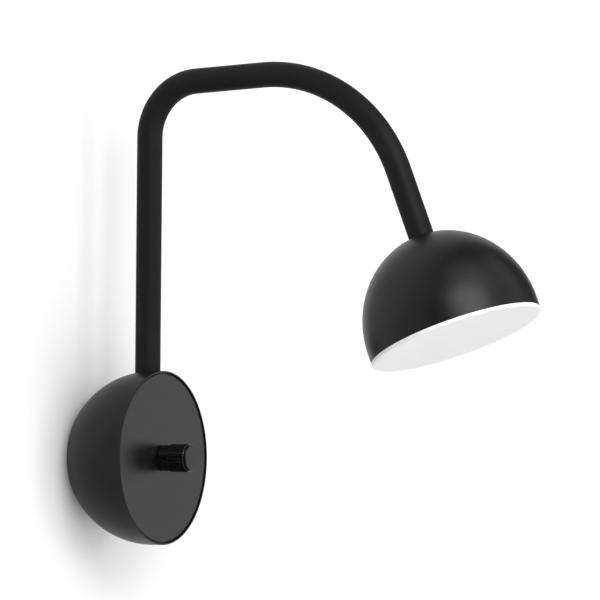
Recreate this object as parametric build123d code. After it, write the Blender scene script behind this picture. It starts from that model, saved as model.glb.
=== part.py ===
"""Wall sconce: a domed base, a bent tube arm that swivels in it, and a domed head with an opal disc.

Millimetres, +Z up. The wall is the plane y = 0 and the light stands out from it towards -Y. The origin is
the middle of the base on the wall, where the wall bracket's screw slots are centred.
"""
from build123d import *
import os
from math import asin, atan2, cos, degrees, pi, radians, sin

# Base: a dome, cut flat by the wall, whose round opening faces the room
base_radius = 65.0
base_depth = 61.0
base_skirt = 8.8
base_crown = 65.3
shell_wall = 2.5
lip_wall = 1.3
ledge_radius = 61.2
ledge_thickness = 1.5
rear_flange_radius = 33.0
rear_flange_thickness = 2.5
edge_round = 0.4
boss_circle = 44.0
boss_radius = 4.0
boss_angles = (30, 150, 270)
bush_boss_radius = 13.0
lock_boss_radius = 4.5
lock_boss_top = -34.0

# Front plate, sunk in the opening
plate_radius = 62.7
plate_thickness = 1.5
plate_recess = 0.9
plate_chamfer = 0.3

# Arm: an upright leg, a tight bend, a short run, a wide bend and a run down to the head
tube_radius = 9.5
tube_wall = 1.5
leg_depth = 14.7
leg_bottom = 36.5
leg_top = 239.6
first_bend_radius = 41.65
first_bend_angle = 86.85
top_run = 57.5
second_bend_radius = 116.1
second_bend_angle = 71.45
last_run = 130.7

# Arm bearing
running_clearance = 0.05
leg_hole_radius = 9.8
bush_radius = 10.15
bush_bottom = 50.0
bush_top = 61.0
bush_shoulder = 1.0
stub_radius = 5.0
stub_bore = 3.5
stub_bottom = 22.5
plug_height = 12.0
bearing_top = 32.5
bearing_thickness = 2.5
bearing_half_width = 11.0
bearing_flange_top = 46.0
friction_thickness = 1.0
spring_height = 1.2
spring_thickness = 0.7
nut_across_flats = 15.0
nut_height = 5.0
stop_angle = 80.0
stop_pin_radius = 1.2
stop_pin_offset = 7.4
stop_pin_top = 35.5

# Head, measured from its rim towards the tube
head_radius = 65.0
head_skirt = 8.1
head_crown = 70.4
seat_sink = 0.9
seat_boss_radius = 13.0
seat_boss_bottom = 71.0
head_washer_radius = 10.0
head_washer_thickness = 1.5
nipple_bottom = 63.5
nipple_length = 24.5
insert_height = 14.0
carrier_radius = 59.0
carrier_bottom = 16.0
carrier_thickness = 3.0
carrier_screw_circle = 53.0
carrier_screw_length = 10.0
board_radius = 46.0
board_thickness = 1.6
board_screw_circle = 27.0
board_screw_length = 4.0
chip_rings = ((17.0, 8), (36.0, 16))
chip_width = 2.8
chip_length = 3.5
chip_height = 0.7
diffuser_proud = 2.6
diffuser_edge_round = 0.8
diffuser_skirt_outer = 62.3
diffuser_skirt_inner = 60.5
diffuser_skirt_height = 7.0

# Knob, measured from the base's rim into it, so that what stands out is negative
knob_rear = -0.3
grip_rear = -7.0
flute_rear = -8.6
grip_front = -22.2
cap_rear = -22.7
cap_front = -24.1
collar_radius = 9.7
grip_radius = 10.4
groove_radius = 8.9
cap_radius = 9.6
cap_spigot_radius = 6.0
cap_spigot_rear = -19.1
flute_count = 26
flute_radius = 1.0
flute_depth = 0.45
insert_radius = 5.0
insert_front = -18.0
insert_rear = -5.0
shaft_radius = 3.0
shaft_front = -17.0
shaft_flat = 1.5

# Dimmer and its bridge, measured like the knob
bridge_front = plate_recess + plate_thickness
bridge_thickness = 1.5
bridge_half_span = 21.0
bridge_half_width = 9.0
bridge_foot_end = 31.0
dimmer_front = bridge_front + bridge_thickness
dimmer_rear = 14.5
dimmer_radius = 8.5
dimmer_bushing_front = -2.5
dimmer_bushing_radius = 3.5
dimmer_nut_front = -1.6
dimmer_nut_rear = 0.4

# Chassis and what it carries, measured like the knob
chassis_front = 30.0
chassis_thickness = 1.5
chassis_rear = chassis_front + chassis_thickness
chassis_radius = 50.0
driver_rear = 49.5
driver_half_width = 26.0
driver_bottom = 6.0
driver_top = 36.0
driver_ear_thickness = 2.5
terminal_rear = 43.5
terminal_half_width = 13.0
terminal_bottom = -25.0
terminal_top = -9.0
terminal_well_depth = 5.5
pole_places = (-8.0, 0.0, 8.0)
clamp_heights = (-13.0, -21.0)

# Wires
mains_wire_depth = 35.5
mains_wire_radius = 0.9
control_lead_depth = 40.0
control_lead_x = 10.0
lead_radius = 1.2

# Wall bracket
bracket_radius = 32.0
bracket_thickness = 2.0
slot_spacing = 44.0
slot_length = 9.0
slot_width = 4.8
grommet_hole = 6.5
grommet_flange_radius = 8.5
grommet_flange_thickness = 1.5
cable_radius = 4.0
lock_tab_y = -9.0
lock_tab_reach = 14.0
lock_tab_half_width = 7.0
lock_tab_top = -25.0
hook_lean = 30.0
hook_half_width = 5.0
hook_root = 29.6
hook_tip = 36.5
hook_metal = 1.5
hook_gap = 0.6

# Screws, by thread
m3_radius = 1.5
m3_head = 2.8
m3_head_height = 1.6
m3_clearance = 1.7
m4_radius = 2.0
m4_head = 3.6
m4_head_height = 2.2
thread_gap = 0.05
tight_thread_gap = 0.02

# How far a cutting tool runs past what it cuts
past = 5.0


def at_depth(depth):
    """Y of a point this far behind the base's rim."""
    return depth - base_depth


leg_y = at_depth(leg_depth)
chassis_span = (at_depth(chassis_front), at_depth(chassis_rear))


def rod_y(radius, start, end, x=0.0, z=0.0):
    """Cylinder along Y between two values of y."""
    return Pos(x, (start + end) / 2, z) * Rot(X=90) * Cylinder(radius, abs(end - start))


def rod_z(radius, bottom, top, x=0.0, y=0.0):
    """Cylinder along Z between two heights."""
    return Pos(x, y, (bottom + top) / 2) * Cylinder(radius, top - bottom)


def block(x_range, y_range, z_range):
    """Box between two values of each coordinate."""
    spans = (x_range, y_range, z_range)
    middle = [(low + high) / 2 for low, high in spans]
    return Pos(*middle) * Box(*[abs(high - low) for low, high in spans])


def ring_y(outer, inner, start, end):
    """Flat ring about the Y axis."""
    return rod_y(outer, start, end) - rod_y(inner, start, end)


def ring_z(outer, inner, bottom, top, y=0.0):
    """Flat ring about an upright axis."""
    return rod_z(outer, bottom, top, y=y) - rod_z(inner, bottom, top, y=y)


def turned(points):
    """Solid turned about the Y axis from an outline of (radius, y) points."""
    return revolve(make_face(Polyline(*points, close=True)), Axis.Y)


def around_y(piece, angle):
    """A piece turned about the Y axis, from the +X side towards +Z."""
    return Rot(Y=-angle) * piece


def hexagon(across_flats, height, bore):
    """Hexagonal nut standing on the XY plane."""
    outline = RegularPolygon(across_flats / 2, 6, major_radius=False) - Circle(bore)
    return extrude(outline, height)


def pan_screw(thread, head, head_height, length):
    """Pan-head screw along +Z with its thread below the XY plane, a rounded head and a cross recess."""
    body = rod_z(head, 0, head_height) + rod_z(thread, -length, 0)
    rim = body.edges().filter_by(GeomType.CIRCLE).group_by(Axis.Z)[-1]
    body = fillet(rim, head_height * 0.45)
    slot = Pos(0, 0, head_height) * Box(head * 1.1, head * 0.25, head_height)
    return body - slot - Rot(Z=90) * slot


def dome(radius, skirt, crown, top=None):
    """Solid dome along +Y: a straight skirt from y = 0, then half an ellipse, cut flat at top if given."""
    top = top or skirt + crown
    end = asin((top - skirt) / crown)
    steps = 8
    angles = [end * step / steps for step in range(steps + 1)]
    side = Spline(
        *[(radius * cos(a), skirt + crown * sin(a)) for a in angles],
        tangents=[(0, 1), (-radius * sin(end), crown * cos(end))],
    )
    outline = Line((0, 0), (radius, 0)) + Line((radius, 0), (radius, skirt)) + side
    if cos(end) > 1e-6:
        outline += Line(side @ 1, (0, top))
    return revolve(make_face(outline + Line((0, top), (0, 0))), Axis.Y)


# ---------------------------------------------------------------- base


def base_shell():
    """Cast dome: a thin lip, a ledge for the front plate, bosses, and a flange that sits on the wall."""
    hollow = Pos(0, -base_depth, 0) * dome(
        base_radius - shell_wall,
        base_skirt,
        base_crown - shell_wall,
        base_depth - rear_flange_thickness,
    )
    ledge_front = at_depth(bridge_front)
    boss_front = at_depth(chassis_rear)

    # Bosses for the chassis, the arm's bush and the lock screw are left standing in the hollow
    for angle in boss_angles:
        hollow -= around_y(rod_y(boss_radius, boss_front, 0, x=boss_circle), angle)
    bush_boss = rod_z(bush_boss_radius, bush_bottom - bush_shoulder, base_radius, y=leg_y)
    behind_plate = (ledge_front + 0.2, 0)
    hollow -= bush_boss & block((-base_radius, base_radius), behind_plate, (0, base_radius))
    hollow -= rod_z(lock_boss_radius, -base_radius, lock_boss_top, y=lock_tab_y)
    hollow -= ring_y(base_radius, ledge_radius, ledge_front, ledge_front + ledge_thickness)

    shell = Pos(0, -base_depth, 0) * dome(base_radius, base_skirt, base_crown, base_depth) - hollow
    shell -= rod_y(base_radius - lip_wall, -base_depth, ledge_front)
    shell -= rod_y(rear_flange_radius, -rear_flange_thickness, 0)
    hole_depth = 9.0
    for angle in boss_angles:
        hole = rod_y(m3_radius + thread_gap, boss_front, boss_front + hole_depth, x=boss_circle)
        shell -= around_y(hole, angle)
    shell -= rod_z(bush_radius + running_clearance, bush_bottom - bush_shoulder, bush_top, y=leg_y)
    shell -= rod_z(leg_hole_radius, bush_top, base_radius + past, y=leg_y)
    shell -= rod_z(m4_radius + thread_gap, -base_radius, lock_boss_top + past, y=lock_tab_y)
    rim = shell.edges().filter_by(GeomType.CIRCLE).group_by(Axis.Y)[0]
    return fillet(rim, edge_round)


def wall_bracket():
    """Pressed disc with slots for the wall screws, two hooks above and a folded lock tab below."""
    disc = rod_y(bracket_radius, -bracket_thickness, 0)
    slot = Plane.XZ * SlotOverall(slot_length, slot_width)
    for side in (-1, 1):
        disc -= Pos(side * slot_spacing / 2, 0, 0) * extrude(slot, past, both=True)
    disc -= rod_y(grommet_hole, -past, past)

    # The tab is folded out of the disc, which leaves a notch below it
    notch_half_width = lock_tab_half_width + 0.6
    tab_bottom = lock_tab_top - bracket_thickness
    notch_height = (-bracket_radius - past, tab_bottom)
    tab_width = (-lock_tab_half_width, lock_tab_half_width)
    disc -= block((-notch_half_width, notch_half_width), (-past, past), notch_height)
    disc += block(tab_width, (-lock_tab_reach, 0), (tab_bottom, lock_tab_top))
    disc -= rod_z(m4_radius + thread_gap, tab_bottom - past, lock_tab_top + past, y=lock_tab_y)

    # Each hook reaches up behind the shell's rear flange
    finger_front = -rear_flange_thickness - hook_gap - hook_metal
    width = (-hook_half_width, hook_half_width)
    hook = block(width, (finger_front, -bracket_thickness / 2), (hook_root, hook_root + hook_metal))
    hook += block(width, (finger_front, finger_front + hook_metal), (hook_root, hook_tip))
    for lean in (-hook_lean, hook_lean):
        disc += around_y(hook, lean)
    return disc


def wall_grommet():
    """Rubber bush in the bracket's cable hole, with one flange on the inside."""
    flange_rear = -bracket_thickness
    flange_front = flange_rear - grommet_flange_thickness
    bush = ring_y(grommet_hole - thread_gap, cable_radius, flange_rear, 0)
    return bush + ring_y(grommet_flange_radius, cable_radius, flange_front, flange_rear)


def lock_screw():
    """Set screw through the shell from below, into the bracket's tab, with a hexagon socket."""
    outer_end, inner_end = -46.5, -24.5
    socket_half_width, socket_depth = 1.0, 2.5
    body = rod_z(m4_radius, outer_end, inner_end, y=lock_tab_y)
    socket = extrude(RegularPolygon(socket_half_width, 6, major_radius=False), socket_depth)
    return chamfer(body.edges().group_by(Axis.Z)[-1], 0.5) - Pos(0, lock_tab_y, outer_end) * socket


def chassis_screw(radius, head, head_height, length, place, facing, lift=0.0):
    """Pan-head screw through the chassis: facing is -1 for a head in front of it and 1 for one behind.

    The head stands off the chassis by lift, the thickness of what the screw holds.
    """
    y = chassis_span[0] - lift if facing < 0 else chassis_span[1] + lift
    x, z = place
    return Pos(x, y, z) * Rot(X=-90 * facing) * pan_screw(radius, head, head_height, length)


def m3_screw(length, place, facing, lift=0.0):
    """M3 screw through the chassis."""
    return chassis_screw(m3_radius, m3_head, m3_head_height, length, place, facing, lift)


boss_places = [(boss_circle * cos(radians(a)), boss_circle * sin(radians(a))) for a in boss_angles]
driver_screw_places = [(-29.5, 12.0), (29.5, 12.0)]
bridge_screw_places = [(-26.0, 0.0), (26.0, 0.0)]
bearing_screw_places = [(-6.5, 41.0), (6.5, 41.0)]
earth_place = (25.0, -15.0)


def chassis_plate():
    """Steel disc on the shell's bosses; everything inside the base is screwed to it."""
    plate = rod_y(chassis_radius, *chassis_span)
    half_window = 5.0
    window = (control_lead_x - half_window, control_lead_x + half_window)
    plate -= block(window, (chassis_span[0] - past, chassis_span[1] + past), (-13.0, 1.0))
    for x, z in boss_places:
        plate -= rod_y(m3_clearance, *chassis_span, x=x, z=z)
    for x, z in driver_screw_places + bridge_screw_places + bearing_screw_places:
        plate -= rod_y(m3_radius + thread_gap, *chassis_span, x=x, z=z)
    x, z = earth_place
    return plate - rod_y(m4_radius + thread_gap, *chassis_span, x=x, z=z)


def chassis_screws():
    """Three screws through the chassis into the shell's bosses."""
    return [m3_screw(9.5, place, -1) for place in boss_places]


def leg_bracket():
    """Steel angle: a flange on the chassis and a shelf that carries the arm, with the stop's arc slot."""
    front, back = at_depth(5.2), chassis_span[0]
    width = (-bearing_half_width, bearing_half_width)
    bracket = block(width, (front, back), (bearing_top - bearing_thickness, bearing_top))
    bracket += block(width, (back - bearing_thickness, back), (bearing_top, bearing_flange_top))
    bracket -= rod_z(stub_radius + running_clearance, bearing_top - past, bearing_top + past, y=leg_y)
    travel = stop_angle + 0.5
    centre_line = CenterArc((0, 0), stop_pin_offset, 90 - travel, 2 * travel)
    slot = extrude(SlotArc(centre_line, 2 * stop_pin_radius + 0.3), 2 * past)
    bracket -= Pos(0, leg_y, bearing_top - past) * slot
    for x, z in bearing_screw_places:
        bracket -= rod_y(m3_clearance, back - past, back, x=x, z=z)
    return bracket


def leg_bracket_screws():
    """Two screws through the bearing bracket's flange into the chassis."""
    return [m3_screw(4.0, place, -1, lift=bearing_thickness) for place in bearing_screw_places]


def upper_bush():
    """Nylon sleeve in the shell's top boss; the tube turns in it."""
    return ring_z(bush_radius, tube_radius + running_clearance, bush_bottom, bush_top, y=leg_y)


def front_plate():
    """Flat disc on the shell's ledge, held in the middle by the dimmer's nut."""
    plate = rod_y(plate_radius, at_depth(plate_recess), at_depth(bridge_front))
    plate = chamfer(plate.edges().group_by(Axis.Y)[0], plate_chamfer)
    hole = rod_y(dimmer_bushing_radius + 0.1, at_depth(plate_recess - past), at_depth(bridge_front + past))
    return plate - hole


def dimmer_bridge():
    """Strap with two legs and two feet that holds the dimmer up to the front plate."""
    front, web_back, back = at_depth(bridge_front), at_depth(dimmer_front), chassis_span[0]
    height = (-bridge_half_width, bridge_half_width)
    strap = block((-bridge_half_span, bridge_half_span), (front, web_back), height)
    strap -= rod_y(dimmer_bushing_radius + 0.1, front, web_back)
    for side, (x, z) in zip((-1, 1), bridge_screw_places):
        outer = side * bridge_half_span
        strap += block((outer - side * bridge_thickness, outer), (web_back, back), height)
        strap += block((outer, side * bridge_foot_end), (back - bridge_thickness, back), height)
        strap -= rod_y(m3_clearance, back - bridge_thickness, back, x=x, z=z)
    return strap


def bridge_screws():
    """Two screws through the dimmer bridge's feet into the chassis."""
    return [m3_screw(3.0, place, -1, lift=bridge_thickness) for place in bridge_screw_places]


def dimmer_body():
    """Round can with a threaded bushing; the knob's shaft turns in it."""
    can = rod_y(dimmer_radius, at_depth(dimmer_front), at_depth(dimmer_rear))
    can = fillet(can.edges().group_by(Axis.Y)[-1], 0.8)
    can += rod_y(dimmer_bushing_radius, at_depth(dimmer_bushing_front), at_depth(dimmer_front))
    return can - rod_y(shaft_radius + running_clearance, at_depth(dimmer_bushing_front), at_depth(12.1))


def dimmer_washer():
    """Thin washer between the front plate and the dimmer's nut."""
    return ring_y(6.5, dimmer_bushing_radius + 0.1, at_depth(dimmer_nut_rear), at_depth(plate_recess))


def dimmer_nut():
    """Thin hexagon nut on the dimmer's bushing, hidden in the knob's hollow back."""
    height = dimmer_nut_rear - dimmer_nut_front
    nut = hexagon(10.0, height, dimmer_bushing_radius + thread_gap)
    return Pos(0, at_depth(dimmer_nut_rear), 0) * Rot(X=90) * nut


def control_board():
    """Circuit board soldered to the dimmer, with a connector for the lamp's lead and three small parts."""
    front, back = at_depth(dimmer_rear), at_depth(dimmer_rear + board_thickness)
    board = block((-17, 17), (front, back), (-11, 9))
    connector = block((-4, 4), (back, at_depth(23.0)), (-3.0, 4.5))
    flat_chip = block((-15, -9), (back, back + 1.2), (-8, -3))
    choke = block((-14, -11), (back, back + 2.0), (1, 6))
    capacitor = rod_y(2.0, back, back + 6.0, x=-8.0, z=-8.0)
    return board + connector + flat_chip + choke + capacitor


def led_driver():
    """Encapsulated power supply behind the chassis, with two ears."""
    front, back = chassis_span[1], at_depth(driver_rear)
    case = block((-driver_half_width, driver_half_width), (front, back), (driver_bottom, driver_top))
    case = fillet(case.edges().filter_by(Axis.Y), 2.0)
    case = fillet(case.faces().sort_by(Axis.Y)[-1].edges(), 0.8)
    for x, z in driver_screw_places:
        side = 1 if x > 0 else -1
        ear_span = (side * (driver_half_width - 1.0), side * (driver_half_width + 7.0))
        case += block(ear_span, (front, front + driver_ear_thickness), (z - 4.0, z + 4.0))
        case -= rod_y(m3_clearance, front, front + driver_ear_thickness, x=x, z=z)
    return case


def driver_screws():
    """Two screws through the driver's ears into the chassis."""
    return [m3_screw(3.8, place, 1, lift=driver_ear_thickness) for place in driver_screw_places]


def terminal_block():
    """Three-pole block for the house wiring, with a well for each clamping screw and a hole for each wire."""
    back = at_depth(terminal_rear)
    width = (-terminal_half_width, terminal_half_width)
    body = block(width, (chassis_span[1], back), (terminal_bottom, terminal_top))
    for x in pole_places:
        body -= rod_z(1.6, terminal_bottom, terminal_top, x=x, y=at_depth(mains_wire_depth))
        for z in clamp_heights:
            body -= rod_y(2.2, back - terminal_well_depth, back, x=x, z=z)
    return body


def terminal_screws():
    """Six slotted clamping screws at the bottom of the block's wells."""
    bottom = at_depth(terminal_rear) - terminal_well_depth
    top = bottom + 3.0
    screws = []
    for x in pole_places:
        for z in clamp_heights:
            head = rod_y(1.9, bottom, top, x=x, z=z)
            screws.append(head - block((x - 2, x + 2), (top - 0.8, top), (z - 0.35, z + 0.35)))
    return screws


lug_thickness = 0.8
lug_reach = 7.0


def earth_lug():
    """Crimped ring under the earth screw, with its tail pointing down to the wire."""
    x, z = earth_place
    y_range = (chassis_span[1], chassis_span[1] + lug_thickness)
    tail = block((x - 1.2, x + 1.2), y_range, (z - lug_reach, z - 2.0))
    return rod_y(4.0, *y_range, x=x, z=z) + tail - rod_y(m4_radius + 0.1, *y_range, x=x, z=z)


def earth_screw():
    """Screw that clamps the earth lug to the chassis."""
    return chassis_screw(m4_radius, m4_head, m4_head_height, 5.0, earth_place, 1, lift=lug_thickness)


def lead(points, radius, arcs):
    """Wire along straight runs joined by arcs, and a printed check of its volume."""
    path = FilletPolyline(*points, radius=arcs) if arcs else Line(*points)
    start = Plane(origin=path @ 0, z_dir=path % 0)
    wire = sweep(start * Circle(radius), path=path)
    expected = pi * radius**2 * path.length
    print(f"lead: arcs {arcs}, length {path.length:.1f}, volume / expected {wire.volume / expected:.3f}")
    return wire


def mains_leads():
    """Live and neutral wires up to the driver, and the earth wire down and round to its lug."""
    wire_y = at_depth(mains_wire_depth)
    in_block = terminal_top - 3.0
    wires = [
        lead([(x, wire_y, in_block), (x, wire_y, driver_bottom)], mains_wire_radius, [])
        for x in pole_places[:2]
    ]
    lug_x, lug_z = earth_place
    lug_y = chassis_span[1] + mains_wire_radius
    low = terminal_bottom - 6.0
    route = [
        (pole_places[2], wire_y, terminal_bottom + 3.0),
        (pole_places[2], wire_y, low),
        (lug_x, lug_y, low),
        (lug_x, lug_y, lug_z - lug_reach),
    ]
    return wires + [lead(route, mains_wire_radius, [3.9, 3.9])]


def control_lead():
    """Two-core lead from the driver's underside, through the chassis, to the control board."""
    x, low = control_lead_x, -6.0
    rear_y = at_depth(control_lead_depth)
    route = [(x, rear_y, driver_bottom), (x, rear_y, low), (x, at_depth(dimmer_rear + board_thickness), low)]
    return lead(route, lead_radius, [5.4])


def base_lead():
    """Lamp lead from the foot of the arm down to the control board's connector."""
    connector_y = at_depth(20.0)
    route = [
        (0, leg_y, stub_bottom - 0.3),
        (0, leg_y, 16.0),
        (0, connector_y, 9.5),
        (0, connector_y, 4.5),
    ]
    return lead(route, lead_radius, [6.4, 5.2])


# ---------------------------------------------------------------- arm


def arm_points():
    """The ends of the arm's runs in the plane x = 0, the middles of its bends, and its last direction."""
    def on_bend(centre, radius, angle):
        return (0, centre[0] + radius * cos(radians(angle)), centre[1] + radius * sin(radians(angle)))

    turn = first_bend_angle
    full_turn = first_bend_angle + second_bend_angle
    centre = (leg_y - first_bend_radius, leg_top)
    first_middle = on_bend(centre, first_bend_radius, turn / 2)
    first_end = on_bend(centre, first_bend_radius, turn)
    run_end = (0, first_end[1] - top_run * sin(radians(turn)), first_end[2] + top_run * cos(radians(turn)))
    centre = (
        run_end[1] - second_bend_radius * cos(radians(turn)),
        run_end[2] - second_bend_radius * sin(radians(turn)),
    )
    second_middle = on_bend(centre, second_bend_radius, turn + second_bend_angle / 2)
    second_end = on_bend(centre, second_bend_radius, full_turn)
    direction = (0, -sin(radians(full_turn)), cos(radians(full_turn)))
    return first_middle, first_end, run_end, second_middle, second_end, direction


first_middle, first_end, run_end, second_middle, second_end, tube_direction = arm_points()
head_centre = tuple(p + last_run * d for p, d in zip(second_end, tube_direction))
head_height = head_skirt + head_crown
seat_height = head_height - seat_sink
head_tilt = degrees(atan2(-tube_direction[2], -tube_direction[1]))
head_place = Pos(*head_centre) * Rot(X=head_tilt)


def on_head_axis(height):
    """Point on the head's axis this far above its rim."""
    return tuple(p - height * d for p, d in zip(head_centre, tube_direction))


def arm_path(bottom, top_height):
    """The arm's centre line from a height on the leg to a height above the head's rim."""
    path = Line((0, leg_y, bottom), (0, leg_y, leg_top))
    path += ThreePointArc((0, leg_y, leg_top), first_middle, first_end)
    path += Line(first_end, run_end)
    path += ThreePointArc(run_end, second_middle, second_end)
    path += Line(second_end, on_head_axis(top_height))
    return path


def along_arm(radius, bottom, top_height):
    """Round bar along the arm's centre line."""
    start = Plane(origin=(0, leg_y, bottom), z_dir=(0, 0, 1))
    return sweep(start * Circle(radius), path=arm_path(bottom, top_height))


def arm_tube():
    """Steel tube with two bends, from its foot in the base to its seat on the head."""
    bore = along_arm(tube_radius - tube_wall, leg_bottom, seat_height)
    return along_arm(tube_radius, leg_bottom, seat_height) - bore


def arm_lead():
    """Lamp lead through the whole arm, from the foot's stub to the LED board."""
    return along_arm(lead_radius, stub_bottom, carrier_bottom)


def leg_foot():
    """Turned plug in the tube's lower end, with a flange and a hollow threaded stub."""
    flange_bottom = bearing_top + friction_thickness
    foot = rod_z(tube_radius - tube_wall - thread_gap, leg_bottom, leg_bottom + plug_height, y=leg_y)
    foot += rod_z(tube_radius, flange_bottom, leg_bottom, y=leg_y)
    foot += rod_z(stub_radius, stub_bottom, flange_bottom, y=leg_y)
    foot -= rod_z(stub_bore, stub_bottom - past, leg_bottom + plug_height + past, y=leg_y)
    pin_y = leg_y + stop_pin_offset
    return foot - rod_z(stop_pin_radius + tight_thread_gap, flange_bottom - past, stop_pin_top, y=pin_y)


def stop_pin():
    """Pin in the foot that meets the ends of the bracket's arc slot."""
    return rod_z(stop_pin_radius, bearing_top - 2.2, stop_pin_top, y=leg_y + stop_pin_offset)


def friction_washer():
    """Fibre washer under the foot's flange, turned by the stop pin."""
    top = bearing_top + friction_thickness
    washer = ring_z(tube_radius, stub_radius + running_clearance, bearing_top, top, y=leg_y)
    return washer - rod_z(stop_pin_radius + running_clearance, bearing_top, top, y=leg_y + stop_pin_offset)


def spring_washer():
    """Dished washer that keeps the swivel's drag even."""
    top = bearing_top - bearing_thickness
    inner, outer = stub_radius + 0.1, 9.0
    low = top - spring_height
    outline = [(inner, low), (inner, low + spring_thickness), (outer, top), (outer, top - spring_thickness)]
    return Pos(0, leg_y, 0) * Rot(X=90) * turned(outline)


def retaining_nut():
    """Nut on the stub, below the spring washer."""
    bottom = bearing_top - bearing_thickness - spring_height - nut_height
    return Pos(0, leg_y, bottom) * hexagon(nut_across_flats, nut_height, stub_radius + tight_thread_gap)


# ---------------------------------------------------------------- head, built along +Y from its rim


def head_shell():
    """Cast dome with a seat for the tube at its pole and three long bosses for the carrier."""
    hollow = dome(head_radius - shell_wall, head_skirt, head_crown - shell_wall)
    hollow -= rod_y(seat_boss_radius, seat_boss_bottom, head_height)
    boss_bottom = carrier_bottom + carrier_thickness
    boss = rod_y(boss_radius, boss_bottom, head_height, x=carrier_screw_circle)
    for angle in boss_angles:
        hollow -= around_y(boss, angle)
    shell = dome(head_radius, head_skirt, head_crown) - hollow
    hole_top = carrier_bottom + carrier_screw_length + 2.0
    hole = rod_y(m3_radius + thread_gap, boss_bottom - past, hole_top, x=carrier_screw_circle)
    for angle in boss_angles:
        shell -= around_y(hole, angle)
    shell -= rod_y(tube_radius + thread_gap, seat_height, head_height + past)
    shell -= rod_y(stub_radius + 0.1, seat_boss_bottom - past, seat_height)
    rim = shell.edges().filter_by(GeomType.CIRCLE).group_by(Axis.Y)[0].sort_by(SortBy.RADIUS)[-1:]
    return head_place * fillet(rim, edge_round)


def head_insert():
    """Threaded plug in the tube's upper end."""
    outer = tube_radius - tube_wall - thread_gap
    inner = stub_radius + tight_thread_gap
    return head_place * ring_y(outer, inner, seat_height, seat_height + insert_height)


def head_nipple():
    """Hollow threaded rod that holds the dome to the tube; the lead runs through it."""
    return head_place * ring_y(stub_radius, stub_bore, nipple_bottom, nipple_bottom + nipple_length)


def head_washer():
    """Washer inside the dome."""
    bottom = seat_boss_bottom - head_washer_thickness
    return head_place * ring_y(head_washer_radius, stub_radius + 0.1, bottom, seat_boss_bottom)


def head_nut():
    """Nut inside the dome."""
    top = seat_boss_bottom - head_washer_thickness
    nut = hexagon(nut_across_flats, nut_height, stub_radius + tight_thread_gap)
    return head_place * Pos(0, top, 0) * Rot(X=90) * nut


def led_carrier():
    """Aluminium disc that carries the board and spreads its heat into the dome."""
    top = carrier_bottom + carrier_thickness
    disc = ring_y(carrier_radius, stub_radius, carrier_bottom, top)
    for angle in boss_angles:
        disc -= around_y(rod_y(m3_clearance, carrier_bottom, top, x=carrier_screw_circle), angle)
        disc -= around_y(rod_y(m3_radius + thread_gap, carrier_bottom, top, x=board_screw_circle), angle)
    return head_place * disc


def head_screws(circle, height, length):
    """Three screws from below, evenly spaced on a circle, with their heads' undersides at one height."""
    screw = Pos(circle, height, 0) * Rot(X=90) * pan_screw(m3_radius, m3_head, m3_head_height, length)
    return [head_place * around_y(screw, angle) for angle in boss_angles]


def carrier_screws():
    """Three screws through the carrier into the dome's bosses."""
    return head_screws(carrier_screw_circle, carrier_bottom, carrier_screw_length)


board_bottom = carrier_bottom - board_thickness


def led_board():
    """Round metal-core board."""
    board = rod_y(board_radius, board_bottom, carrier_bottom)
    for angle in boss_angles:
        board -= around_y(rod_y(m3_clearance, board_bottom, carrier_bottom, x=board_screw_circle), angle)
    return head_place * board


def board_screws():
    """Three screws through the board into the carrier."""
    return head_screws(board_screw_circle, board_bottom, board_screw_length)


def led_chips():
    """Surface-mounted chips in two rings on the board."""
    height = (board_bottom - chip_height, board_bottom)
    chips = []
    for circle, count in chip_rings:
        radial = (circle - chip_width / 2, circle + chip_width / 2)
        chip = block(radial, height, (-chip_length / 2, chip_length / 2))
        chips += [head_place * around_y(chip, (step + 0.5) * 360 / count) for step in range(count)]
    return chips


def reflector():
    """White cone from the board's edge to the diffuser's skirt, with a collar round the board."""
    wall, rim_height, collar_height = 1.2, 3.2, 13.2
    collar_inner, collar_outer = board_radius + 0.6, board_radius + 2.2
    rim_outer = diffuser_skirt_inner - 0.5
    outline = [
        (collar_outer, collar_height),
        (collar_outer, collar_height + wall),
        (rim_outer, rim_height + wall),
        (rim_outer, rim_height),
        (rim_outer - 0.6, rim_height),
        (collar_outer - 0.8, collar_height),
    ]
    collar = ring_y(collar_outer, collar_inner, collar_height, carrier_bottom)
    return head_place * (turned(outline) + collar)


def diffuser():
    """Opal disc as wide as the dome, with a skirt that snaps into it."""
    disc = rod_y(head_radius, -diffuser_proud, 0)
    disc = fillet(disc.edges().group_by(Axis.Y)[0], diffuser_edge_round)
    skirt = ring_y(diffuser_skirt_outer, diffuser_skirt_inner, 0, diffuser_skirt_height)
    return head_place * (disc + skirt)


# ---------------------------------------------------------------- knob


def dimmer_shaft():
    """The dimmer's shaft, with a flat for the knob's insert."""
    shaft = rod_y(shaft_radius, at_depth(shaft_front), at_depth(12.0))
    flat = (at_depth(shaft_front - past), at_depth(insert_rear))
    return shaft - block((-past, past), flat, (shaft_flat, past))


def knob_insert():
    """Brass bush inside the knob, with a D-shaped bore."""
    bush = rod_y(insert_radius, at_depth(insert_front), at_depth(insert_rear))
    bore_span = (at_depth(shaft_front - 0.1), at_depth(insert_rear))
    bore = rod_y(shaft_radius + tight_thread_gap, *bore_span)
    return bush - (bore & block((-past, past), bore_span, (-past, shaft_flat + tight_thread_gap)))


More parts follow.
